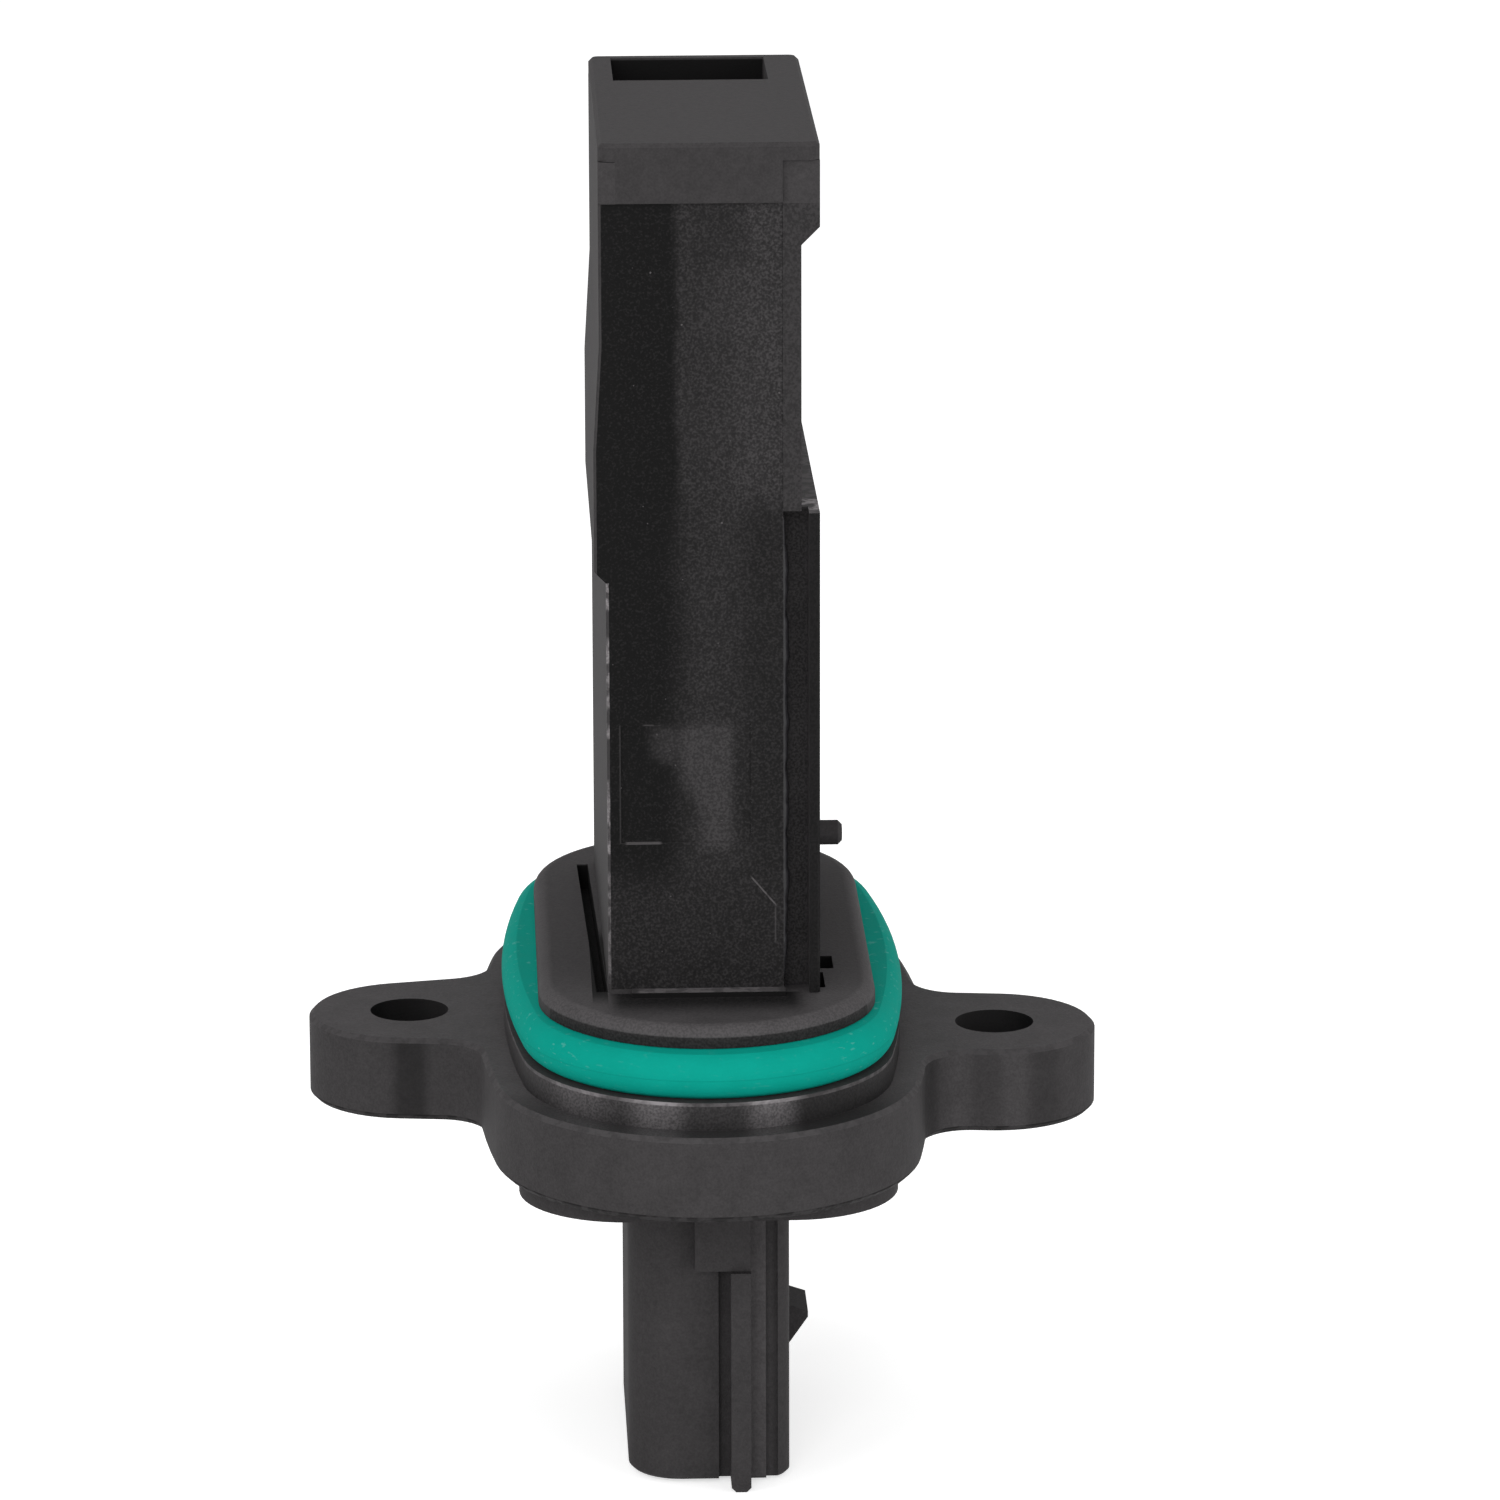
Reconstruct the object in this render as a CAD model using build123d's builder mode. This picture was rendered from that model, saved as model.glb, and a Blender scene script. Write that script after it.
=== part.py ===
from build123d import *
import math
import os

# Mass airflow sensor of the plug-in kind, in millimetres. The origin is the middle of the seat
# face, on the line between the two bolt holes. The probe points up (+Z), the connector down.
# X runs from ear to ear, Y along the long axis of the collar and of the probe.

# Flange, which seats on the duct with its top face at Z = 0
bolt_circle = 45.0
bolt_angle = -6.4
bolt_hole = 6.0
ear_radius = 7.7
ear_fillet = 3.5
ear_flare = 12.0
plate_half_width = 17.2
plate_thickness = 6.45
plate_edge_break = 0.35

# Collar above the seat face: pedestal, seal groove and lip. Plate, pedestal, groove and seal are
# parallel ovals with flat arcs at the sides and round ends, all about the same centres.
end_centre = 15.2
side_centre = 99.75
pedestal_half_width = 15.1
pedestal_height = 2.1
lip_radius = 12.6
lip_end_centre = 14.2
lip_thickness = 1.65
lip_round = 1.1

# Seal ring of D section, round outside and flat where it bears on the groove
seal_section = 3.6
seal_half_width = 13.45
seal_flat = 0.12
seal_bore_depth = 1.7
seal_clearance = 0.05

# Probe: a frame that is open at both wide sides, with a solid tip
probe_left = -7.6
probe_right = 5.6
probe_depth = 36.8
side_slant = 0.2
probe_front_step = 0.35
probe_length = 64.1
tip_left = -7.8
tip_right = 8.3
tip_wall = 1.3
tip_band = 4.4
tip_round = 0.8
tip_edge_break = 0.3
side_edge_break = 0.2
frame_wall = 1.3
cover_gap = 0.05
marking_left = -6.4
marking_right = 3.2
marking_bottom = 18.8
marking_top = 27.8
marking_depth = 0.1

# Air passage in the upper half of the probe
divider_bottom = 40.0
divider_wall = 2.0
inlet_width = 11.7
inlet_x = -0.27
inlet_length = 9.6
passage_corner = 6.0
turn_wall = 1.5
turn_gap = 10.0

# Circuit chamber in the lower half of the probe
chamber_bottom = 9.5
chamber_wall = 2.8
chamber_floor = 2.4
rail_height = 3.0
rail_width = 2.2
rail_spacing = 24.0
bead_width = 1.0
bead_depth = 0.6
bead_clearance = 0.05

# Covers on the wide sides
left_cover_bottom = 38.6
left_cover_seat = 1.05
left_cover_bulge = 0.45
bulge_top = 48.5
bulge_fade = 56.3
right_cover_bottom = 43.9
right_cover_thickness = 1.35
right_cover_setback = 0.3
block_chamfer_bottom = 63.7
window_length = 10.0
window_height = 8.0
window_inset = 3.1
window_centre_z = 57.0
key_height = 1.0
key_clearance = 0.1
lid_plate = 0.8
lid_rim = 1.2
lid_front_recess = 2.2
lid_edge_inset = 0.5
lug_radius = 0.95
lug_length = 2.6
lug_y = 2.0
lug_z = 13.9

# Slots and step in the top face of the collar
slot_width = 0.87
slot_length = 35.0
slot_depth = 2.0
slot_x = -8.31
slot_angle = 1.45
notch_width = 1.3
notch_length = 3.3
notch_y = -10.4
slit_width = 0.45
slit_length = 4.0
slit_y = -15.0
sill_width = 11.4
sill_run = 1.2
sill_height = 0.4

# Connector shroud below the flange
block_width = 28.4
block_length = 50.6
block_height = 1.8
block_corner = 8.0
shroud_left = -5.95
shroud_right = 6.3
shroud_length = 25.6
shroud_end = -33.1
shroud_left_corner = 4.0
shroud_right_corner = 2.2
shroud_wall = 1.4
shroud_end_break = 0.25
socket_lead_in = 0.4
socket_depth = 20.5
rib_x = 2.5
rib_width = 1.5
rib_height = 1.8
rib_overrun = 0.4
rib_end_break = 0.35
pad_width = 4.2
pad_left = -0.95
pad_height = 1.2
pad_bottom = -16.0
groove_width = 0.9
groove_depth = 0.7
side_groove_x = 4.9
latch_top = -22.6
latch_height = 1.8
latch_flat = 0.45
latch_lead = 0.6
latch_ramp = 2.6
latch_width = 5.0

# Terminals, five blades in a row
terminal_count = 5
terminal_pitch = 4.0
terminal_thickness = 0.8
blade_width = 1.5
blade_end = -28.0
blade_tip = 1.2
tab_width = 1.0
tab_top = 16.0
terminal_clearance = 0.05
carrier_width = 4.4
carrier_length = 21.0
carrier_height = 2.4

# Electronics
base_thickness = 1.0
board_thickness = 1.0
board_front_gap = 1.6
board_back_gap = 0.2
board_foot_gap = 0.3
board_top_gap = 1.4
tongue_width = 6.4
tongue_foot = 8.0
tongue_reach = 14.0
tongue_thickness = 0.8
tongue_clearance = 0.15
chip_size = 4.0
chip_thickness = 0.4
chip_drop = 2.0
ic_size = 7.0
ic_thickness = 1.3
ic_offset = -3.7
ic_rise = 1.6
capacitor_length = 2.0
capacitor_width = 1.25
capacitor_height = 1.0
capacitor_count = 5
capacitor_pitch = 4.0
capacitor_drop = 7.8
resistor_length = 1.6
resistor_width = 0.8
resistor_height = 0.45
resistor_row_pitch = 3.2
resistor_columns = 4
resistor_gap = 0.8
ribbon_count = 4
ribbon_pitch = 1.2
ribbon_width = 0.4
ribbon_thickness = 0.12
ribbon_reach = 1.0
ribbon_rise = 0.7

# Air temperature thermistor, held across the outlet window by its two stamped legs
bead_diameter = 2.4
bead_length = 3.2
bead_end_break = 0.5
leg_width = 0.6
leg_spacing = 7.0
leg_foot = 6.0
leg_bend = 1.0
leg_clearance = 0.1

# Heights and places that follow from the sizes above
seal_height = seal_section - 2 * seal_flat
groove_top = pedestal_height + seal_height + 2 * seal_clearance
collar_top = groove_top + lip_thickness
tip_top = collar_top + probe_length
rim_bottom = tip_top - tip_wall
divider_top = divider_bottom + divider_wall
half_depth = probe_depth / 2
front_face = -half_depth + probe_front_step
bypass_half = half_depth - frame_wall
chamber_width = probe_depth - 2 * chamber_wall
shroud_x = (shroud_left + shroud_right) / 2
shroud_width = shroud_right - shroud_left
window_centre_y = window_inset + window_length / 2 - bypass_half
cover_seat = probe_left + left_cover_seat
chamber_floor_x = probe_left + chamber_floor
rail_top = chamber_floor_x + rail_height
base_top = rail_top + base_thickness
board_face = base_top + board_thickness
tongue_face = board_face + tongue_thickness
block_bottom = -plate_thickness - block_height
socket_top = shroud_end + socket_depth
lid_inner = tip_right - lid_plate
core_half_width = seal_half_width - seal_bore_depth - seal_clearance
seal_z = pedestal_height + seal_height / 2 + seal_clearance
board_front = -chamber_width / 2 + board_front_gap
board_back = chamber_width / 2 - board_back_gap
board_bottom = chamber_bottom + carrier_height + board_foot_gap
board_top = divider_bottom - board_top_gap
tongue_y = board_back - tongue_width / 2
tongue_bottom = divider_bottom - tongue_foot
tongue_top = divider_top + tongue_reach
ic_y = (board_front + board_back) / 2 + ic_offset
ic_z = (board_bottom + board_top) / 2 + ic_rise
inlet_y = bypass_half - inlet_length / 2
turn_wall_y = bypass_half - inlet_length - turn_wall / 2
terminal_ys = [(i - (terminal_count - 1) / 2) * terminal_pitch for i in range(terminal_count)]
terminal_x = board_face + terminal_clearance
bolt_places = [
    (sign * bolt_circle / 2 * math.cos(math.radians(bolt_angle)),
     sign * bolt_circle / 2 * math.sin(math.radians(bolt_angle)))
    for sign in (-1, 1)
]
flare_x = bolt_places[0][0] - ear_radius * math.sin(math.radians(ear_flare))
flare_y = bolt_places[0][1] + ear_radius * math.cos(math.radians(ear_flare))
leg_ys = [window_centre_y - leg_spacing / 2, window_centre_y + leg_spacing / 2]
leg_x = board_face + terminal_clearance
leg_bottom = divider_bottom - leg_foot
resistor_front = leg_ys[1] + leg_width / 2 + resistor_gap + resistor_width / 2
resistor_back = tongue_y - tongue_width / 2 - resistor_gap - resistor_width / 2
resistor_y = (resistor_front + resistor_back) / 2
resistor_pitch = (resistor_back - resistor_front) / (resistor_columns - 1)


def oval_line(half_width):
    """Outline of the collar family: flat arcs at the sides, tangent to round ends."""
    reach = math.hypot(side_centre, end_centre)
    end_radius = side_centre + half_width - reach
    join_x = end_radius * side_centre / reach
    join_y = end_centre + end_radius * end_centre / reach
    ThreePointArc((join_x, -join_y), (half_width, 0), (join_x, join_y))
    ThreePointArc((join_x, join_y), (0, end_centre + end_radius), (-join_x, join_y))
    ThreePointArc((-join_x, join_y), (-half_width, 0), (-join_x, -join_y))
    ThreePointArc((-join_x, -join_y), (0, -end_centre - end_radius), (join_x, -join_y))


def box_between(x0, x1, y0, y1, z0, z1, mode=Mode.ADD):
    """A straight-sided block between two corners, added to or cut from the open part."""
    with Locations((x0, y0, z0)):
        Box(x1 - x0, y1 - y0, z1 - z0, align=(Align.MIN, Align.MIN, Align.MIN), mode=mode)


# Housing: flange, collar, probe frame and connector shroud, moulded in one
with BuildPart() as housing:
    # Flange plate with its two ears, the left one flared at the back of its root
    with BuildSketch(Plane.XY.offset(-plate_thickness)) as flange_outline:
        with BuildLine():
            oval_line(plate_half_width)
        make_face()
        with Locations(*bolt_places):
            Circle(ear_radius)
        Rectangle(bolt_circle, 2 * ear_radius, rotation=bolt_angle)
        flare_run = -lip_radius - flare_x
        Polygon(
            (flare_x, flare_y),
            bolt_places[0],
            (-lip_radius, bolt_places[0][1]),
            (-lip_radius, flare_y + flare_run * math.tan(math.radians(ear_flare))),
            align=None)
        inner_corners = [
            v for v in flange_outline.vertices()
            if lip_radius < abs(v.X) < bolt_circle / 2 - bolt_hole / 2 and abs(v.Y) < end_centre
        ]
        fillet(inner_corners, radius=ear_fillet)
    extrude(amount=plate_thickness)
    chamfer(housing.faces().filter_by(Axis.Z).edges(), length=plate_edge_break)
    with BuildSketch(Plane.XY.offset(-plate_thickness)):
        with Locations(*bolt_places):
            Circle(bolt_hole / 2)
    extrude(amount=plate_thickness, mode=Mode.SUBTRACT)

    # Pedestal, seal groove core and lip
    with BuildSketch(Plane.XY):
        with BuildLine():
            oval_line(pedestal_half_width)
        make_face()
    extrude(amount=pedestal_height)
    with BuildSketch(Plane.XY.offset(pedestal_height)):
        with BuildLine():
            oval_line(core_half_width)
        make_face()
    extrude(amount=groove_top - pedestal_height)
    with BuildSketch(Plane.XY.offset(groove_top)):
        SlotCenterToCenter(2 * lip_end_centre, 2 * lip_radius, rotation=90)
    extrude(amount=lip_thickness)
    fillet(housing.edges().group_by(Axis.Z)[-1], radius=lip_round)

    # Probe frame and tip
    with BuildSketch(Plane.XY.offset(collar_top - lip_round)) as frame_outline:
        with BuildLine():
            Polyline(
                (probe_left + side_slant, front_face),
                (probe_right, front_face),
                (probe_right, half_depth),
                (probe_left - side_slant, half_depth),
                close=True)
        make_face()
        chamfer(frame_outline.vertices().sort_by(Axis.X)[:2], length=side_edge_break)
    extrude(amount=rim_bottom - collar_top + lip_round)
    with BuildSketch(Plane.XY.offset(tip_top - tip_band)):
        with Locations(((probe_left + probe_right) / 2, 0)):
            Rectangle(probe_right - probe_left, probe_depth)
    extrude(amount=tip_band - tip_wall)
    with BuildSketch(Plane.XY.offset(rim_bottom)) as tip_outline:
        with Locations(((tip_left + tip_right) / 2, 0)):
            RectangleRounded(tip_right - tip_left, probe_depth, tip_round)
    extrude(amount=tip_wall)
    chamfer(housing.faces().sort_by(Axis.Z)[-1].edges(), length=tip_edge_break)

    # Shallow bare recess on the front, where such probes carry their marking
    box_between(marking_left, marking_right, front_face, front_face + marking_depth,
                marking_bottom, marking_top, mode=Mode.SUBTRACT)

    # Rabbet for the left cover
    box_between(probe_left - side_slant, cover_seat, -half_depth, half_depth,
                left_cover_bottom, rim_bottom, mode=Mode.SUBTRACT)

    # Air passage with its inlet slot and the wall that it turns around
    with BuildSketch(Plane.YZ.offset(cover_seat)) as passage_outline:
        with Locations((0, (divider_top + rim_bottom) / 2)):
            Rectangle(2 * bypass_half, rim_bottom - divider_top)
        fillet(passage_outline.vertices().group_by(Axis.Y)[0], radius=passage_corner)
    extrude(amount=probe_right - cover_seat, mode=Mode.SUBTRACT)
    with BuildSketch(Plane.YZ.offset(cover_seat)) as turn_outline:
        with Locations((turn_wall_y, (divider_top + turn_gap + rim_bottom) / 2)):
            Rectangle(turn_wall, rim_bottom - divider_top - turn_gap)
        fillet(turn_outline.vertices().group_by(Axis.Y)[0], radius=0.45 * turn_wall)
    extrude(amount=probe_right - cover_seat)
    box_between(inlet_x - inlet_width / 2, inlet_x + inlet_width / 2, inlet_y - inlet_length / 2,
                inlet_y + inlet_length / 2, rim_bottom, tip_top, mode=Mode.SUBTRACT)

    # Circuit chamber with two rails for the base plate
    box_between(chamber_floor_x, probe_right, -chamber_width / 2, chamber_width / 2,
                chamber_bottom, divider_bottom, mode=Mode.SUBTRACT)
    for side in (-1, 1):
        rail_y = side * rail_spacing / 2
        box_between(chamber_floor_x, rail_top, rail_y - rail_width / 2, rail_y + rail_width / 2,
                    chamber_bottom, divider_bottom)

    # Slot in the divider for the sensing tongue, and two holes for the thermistor legs
    box_between(board_face - tongue_clearance, tongue_face + tongue_clearance,
                tongue_y - tongue_width / 2 - tongue_clearance,
                tongue_y + tongue_width / 2 + tongue_clearance,
                divider_bottom, divider_top + passage_corner, mode=Mode.SUBTRACT)
    with BuildSketch(Plane.XY.offset(divider_bottom)):
        with Locations(*[(leg_x + leg_width / 2, y) for y in leg_ys]):
            Rectangle(leg_width + 2 * leg_clearance, leg_width + 2 * leg_clearance)
    extrude(amount=divider_wall + passage_corner, mode=Mode.SUBTRACT)

    # Groove for the adhesive bead around the mouth of the chamber
    with BuildSketch(Plane.YZ.offset(probe_right - bead_depth)):
        with Locations((0, (chamber_bottom + divider_bottom) / 2)):
            Rectangle(chamber_width + 2 * bead_width, divider_bottom - chamber_bottom + 2 * bead_width)
            Rectangle(chamber_width, divider_bottom - chamber_bottom, mode=Mode.SUBTRACT)
    extrude(amount=bead_depth, mode=Mode.SUBTRACT)

    # Slots in the top face of the collar beside the probe, and the sill before it
    with Locations(Location((slot_x, 0, collar_top), (0, 0, slot_angle))):
        Box(slot_width, slot_length, slot_depth, align=(Align.CENTER, Align.CENTER, Align.MAX),
            mode=Mode.SUBTRACT)
    box_between(tip_right, tip_right + notch_width, notch_y - notch_length / 2,
                notch_y + notch_length / 2, collar_top - slot_depth, collar_top, mode=Mode.SUBTRACT)
    box_between(tip_right, tip_right + slit_width, slit_y - slit_length / 2,
                slit_y + slit_length / 2, collar_top - slot_depth, collar_top, mode=Mode.SUBTRACT)
    box_between(-sill_width / 2, sill_width / 2, front_face - sill_run, front_face,
                collar_top - lip_round, collar_top + sill_height)

    # Block under the flange and connector shroud
    with BuildSketch(Plane.XY.offset(block_bottom)):
        RectangleRounded(block_width, block_length, block_corner)
    extrude(amount=block_height)
    with BuildSketch(Plane.XY.offset(shroud_end)) as shroud_outline:
        with Locations((shroud_x, 0)):
            Rectangle(shroud_width, shroud_length)
        fillet(shroud_outline.vertices().group_by(Axis.X)[0], radius=shroud_left_corner)
        fillet(shroud_outline.vertices().group_by(Axis.X)[-1], radius=shroud_right_corner)
    extrude(amount=block_bottom - shroud_end)
    chamfer(housing.edges().group_by(Axis.Z)[0], length=shroud_end_break)
    shroud_front = -shroud_length / 2
    box_between(pad_left, pad_left + pad_width, shroud_front - pad_height, shroud_front + pad_height,
                pad_bottom, block_bottom)
    box_between(rib_x - rib_width / 2 - groove_width, rib_x - rib_width / 2,
                shroud_front, shroud_front + groove_depth, shroud_end, pad_bottom, mode=Mode.SUBTRACT)
    box_between(side_groove_x - groove_width / 2, side_groove_x + groove_width / 2,
                shroud_front, shroud_front + groove_depth, shroud_end, block_bottom, mode=Mode.SUBTRACT)
    box_between(rib_x - rib_width / 2, rib_x + rib_width / 2, shroud_front - rib_height,
                shroud_front + groove_depth, shroud_end - rib_overrun, pad_bottom)
    chamfer(housing.edges().group_by(Axis.Z)[0].filter_by(Axis.Y), length=rib_end_break)
    with BuildSketch(Plane.XZ.offset(-latch_width / 2)):
        with BuildLine():
            Polyline(
                (shroud_right - shroud_wall / 2, latch_top),
                (shroud_right, latch_top),
                (shroud_right + latch_height, latch_top - latch_lead),
                (shroud_right + latch_height, latch_top - latch_lead - latch_flat),
                (shroud_right, latch_top - latch_lead - latch_flat - latch_ramp),
                (shroud_right - shroud_wall / 2, latch_top - latch_lead - latch_flat - latch_ramp),
                close=True)
        make_face()
    extrude(amount=latch_width)

    # Socket for the plug
    with BuildSketch(Plane.XY.offset(shroud_end)) as socket_outline:
        with Locations((shroud_x, 0)):
            Rectangle(shroud_width - 2 * shroud_wall, shroud_length - 2 * shroud_wall)
        fillet(socket_outline.vertices().group_by(Axis.X)[0], radius=shroud_left_corner - shroud_wall)
        fillet(socket_outline.vertices().group_by(Axis.X)[-1], radius=shroud_right_corner - shroud_wall)
    extrude(amount=socket_depth, mode=Mode.SUBTRACT)
    with BuildSketch(Plane.XY.offset(shroud_end)) as socket_mouth:
        offset(socket_outline.sketch, amount=socket_lead_in)
    extrude(amount=socket_lead_in, taper=45, mode=Mode.SUBTRACT)

    # Passages for the terminals, from the socket to the circuit chamber
    with BuildSketch(Plane.XY.offset(socket_top)):
        with Locations(*[(terminal_x + terminal_thickness / 2, y) for y in terminal_ys]):
            Rectangle(terminal_thickness + 2 * terminal_clearance, blade_width + 2 * terminal_clearance)
    extrude(amount=chamber_bottom - socket_top, mode=Mode.SUBTRACT)
housing.part.label = "housing"

# Cover over the left wide side of the air passage
with BuildPart() as left_bypass_cover:
    cover_foot = probe_left + side_slant
    with BuildSketch(Plane.XZ.offset(-half_depth)):
        with BuildLine():
            Polyline(
                (cover_seat, left_cover_bottom),
                (cover_foot, left_cover_bottom),
                (tip_left - left_cover_bulge, left_cover_bottom + cover_foot - tip_left + left_cover_bulge),
                (tip_left - left_cover_bulge, bulge_top),
                (tip_left, bulge_fade),
                (tip_left, rim_bottom - cover_gap),
                (cover_seat, rim_bottom - cover_gap),
                close=True)
        make_face()
    extrude(amount=half_depth - front_face)
    chamfer(left_bypass_cover.faces().sort_by(Axis.X)[0].edges().filter_by(Axis.Z), length=side_edge_break)
    box_between(tip_left, cover_seat, -half_depth, front_face, tip_top - tip_band, rim_bottom - cover_gap)
    with BuildSketch(Plane.YZ.offset(cover_seat)):
        with Locations((-(inlet_length + turn_wall) / 2, rim_bottom - 2 * key_clearance - key_height)):
            Rectangle(2 * bypass_half - inlet_length - turn_wall - 2 * key_clearance, key_height)
    extrude(amount=key_height)
left_bypass_cover.part.label = "left_bypass_cover"

# Cover over the right wide side of the air passage, with the outlet window
with BuildPart() as right_bypass_cover:
    right_cover_face = probe_right + right_cover_thickness
    block_step = tip_right - right_cover_face
    with BuildSketch(Plane.XZ.offset(-half_depth)):
        with BuildLine():
            Polyline(
                (probe_right, right_cover_bottom),
                (right_cover_face, right_cover_bottom),
                (right_cover_face, block_chamfer_bottom),
                (tip_right, block_chamfer_bottom + block_step),
                (tip_right, rim_bottom - cover_gap),
                (probe_right, rim_bottom - cover_gap),
                close=True)
        make_face()
    extrude(amount=probe_depth - right_cover_setback)
    with BuildSketch(Plane.YZ.offset(probe_right)) as window_outline:
        with Locations((window_centre_y, window_centre_z)):
            RectangleRounded(window_length, window_height, radius=frame_wall)
    extrude(amount=right_cover_thickness, mode=Mode.SUBTRACT)
    with BuildSketch(Plane.YZ.offset(probe_right - key_height)):
        with Locations((window_centre_y, rim_bottom - 2 * key_clearance - key_height)):
            Rectangle(window_length, key_height)
    extrude(amount=key_height)
right_bypass_cover.part.label = "right_bypass_cover"

# Cover over the circuit chamber: a shallow tray with its rim on the adhesive bead
with BuildPart() as circuit_cover:
    lid_bottom = collar_top + cover_gap
    lid_top = right_cover_bottom - 2 * cover_gap
    box_between(lid_inner, tip_right, -half_depth, half_depth, lid_bottom, lid_top)
    chamfer(circuit_cover.faces().sort_by(Axis.X)[-1].edges().filter_by(Axis.Z), length=side_edge_break)
    rim_front = -half_depth + lid_front_recess
    rim_back = half_depth - lid_edge_inset
    box_between(probe_right, lid_inner, rim_front, rim_back, lid_bottom, lid_top)
    box_between(probe_right, lid_inner, rim_front + lid_rim, rim_back - lid_rim,
                lid_bottom + lid_rim, lid_top - lid_rim, mode=Mode.SUBTRACT)
    with BuildSketch(Plane.YZ.offset(tip_right)):
        with Locations((lug_y, lug_z)):
            Circle(lug_radius)
    extrude(amount=lug_length)
    chamfer(circuit_cover.edges().filter_by(GeomType.CIRCLE).sort_by(Axis.X)[-1], length=lug_radius / 3)
circuit_cover.part.label = "circuit_cover"

# Adhesive bead in its groove
with BuildPart() as cover_adhesive:
    with BuildSketch(Plane.YZ.offset(probe_right - bead_depth)):
        with Locations((0, (chamber_bottom + divider_bottom) / 2)):
            Rectangle(chamber_width + 2 * bead_width - 2 * bead_clearance,
                      divider_bottom - chamber_bottom + 2 * bead_width - 2 * bead_clearance)
            Rectangle(chamber_width, divider_bottom - chamber_bottom, mode=Mode.SUBTRACT)
    extrude(amount=bead_depth)
cover_adhesive.part.label = "cover_adhesive"

# Seal ring, one section swept around the oval of the groove
with BuildPart() as seal_ring:
    with BuildLine(Plane.XY.offset(seal_z)) as seal_line:
        oval_line(seal_half_width)
    seal_path = seal_line.wires()[0]
    outward = (seal_path % 0).cross(Vector(0, 0, 1))
    with BuildSketch(Plane(origin=seal_path @ 0, x_dir=outward, z_dir=seal_path % 0)):
        Circle(seal_section / 2)
        with Locations((seal_section / 2, 0)):
            Rectangle(seal_section, seal_height, mode=Mode.INTERSECT)
        with Locations((-seal_bore_depth / 2, 0)):
            Rectangle(seal_bore_depth, seal_height)
    sweep(path=seal_path)
seal_ring.part.label = "seal_ring"

# Terminals: a wide blade in the socket, a narrow tab on the board
terminals = []
for number, place in enumerate(terminal_ys, start=1):
    with BuildPart() as terminal:
        with BuildSketch(Plane.YZ.offset(terminal_x)):
            with Locations((place, (blade_end + carrier_height + chamber_bottom) / 2)):
                Rectangle(blade_width, chamber_bottom + carrier_height - blade_end)
            with Locations((place, (tab_top + chamber_bottom) / 2)):
                Rectangle(tab_width, tab_top - chamber_bottom)
        extrude(amount=terminal_thickness)
        chamfer(terminal.edges().group_by(Axis.Z)[0].filter_by(Axis.Y),
                length=terminal_thickness * 0.3, length2=blade_tip)
    terminal.part.label = f"terminal_{number}"
    terminals.append(terminal.part)

# Carrier that spaces the terminals at the foot of the circuit chamber
with BuildPart() as terminal_carrier:
    with BuildSketch(Plane.XY.offset(chamber_bottom)):
        with Locations((terminal_x + terminal_thickness / 2, 0)):
            RectangleRounded(carrier_width, carrier_length, radius=terminal_thickness)
        with Locations(*[(terminal_x + terminal_thickness / 2, y) for y in terminal_ys]):
            Rectangle(terminal_thickness + 2 * terminal_clearance,
                      blade_width + 2 * terminal_clearance, mode=Mode.SUBTRACT)
    extrude(amount=carrier_height)
terminal_carrier.part.label = "terminal_carrier"

# Metal base plate on the rails
with BuildPart() as base_plate:
    box_between(rail_top, base_top, board_front, board_back, board_bottom, board_top)
base_plate.part.label = "base_plate"

# Circuit board on the base plate
with BuildPart() as circuit_board:
    box_between(base_top, board_face, board_front, board_back, board_bottom, board_top)
circuit_board.part.label = "circuit_board"

# Sensing tongue, which reaches from the board into the air passage
with BuildPart() as sensing_tongue:
    with BuildSketch(Plane.YZ.offset(board_face)) as tongue_outline:
        with Locations((tongue_y, (tongue_bottom + tongue_top) / 2)):
            Rectangle(tongue_width, tongue_top - tongue_bottom)
        fillet(tongue_outline.vertices().group_by(Axis.Y)[-1], radius=tongue_width / 4)
    extrude(amount=tongue_thickness)
sensing_tongue.part.label = "sensing_tongue"

# Hot film chip near the end of the tongue
with BuildPart() as flow_chip:
    chip_top = tongue_top - chip_drop
    box_between(tongue_face, tongue_face + chip_thickness, tongue_y - chip_size / 2,
                tongue_y + chip_size / 2, chip_top - chip_size, chip_top)
flow_chip.part.label = "flow_chip"

# Control chip
with BuildPart() as control_chip:
    box_between(board_face, board_face + ic_thickness, ic_y - ic_size / 2, ic_y + ic_size / 2,
                ic_z - ic_size / 2, ic_z + ic_size / 2)
    chamfer(control_chip.faces().sort_by(Axis.X)[-1].edges(), length=ic_thickness / 5)
control_chip.part.label = "control_chip"

# Chip capacitors in a row below the control chip, and two beside it
with BuildPart() as capacitors:
    with BuildSketch(Plane.YZ.offset(board_face)):
        with Locations((ic_y, ic_z - capacitor_drop)):
            with GridLocations(capacitor_pitch, capacitor_pitch, capacitor_count, 1):
                Rectangle(capacitor_width, capacitor_length)
        with Locations((ic_y - ic_size, ic_z), (ic_y + ic_size, ic_z)):
            Rectangle(capacitor_length, capacitor_width)
    extrude(amount=capacitor_height)
capacitors.part.label = "capacitors"

# Chip resistors in two rows above the control chip
with BuildPart() as resistors:
    with BuildSketch(Plane.YZ.offset(board_face)):
        with Locations((resistor_y, ic_z + ic_size)):
            with GridLocations(resistor_pitch, resistor_row_pitch, resistor_columns, 2):
                Rectangle(resistor_width, resistor_length)
    extrude(amount=resistor_height)
resistors.part.label = "resistors"

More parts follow.
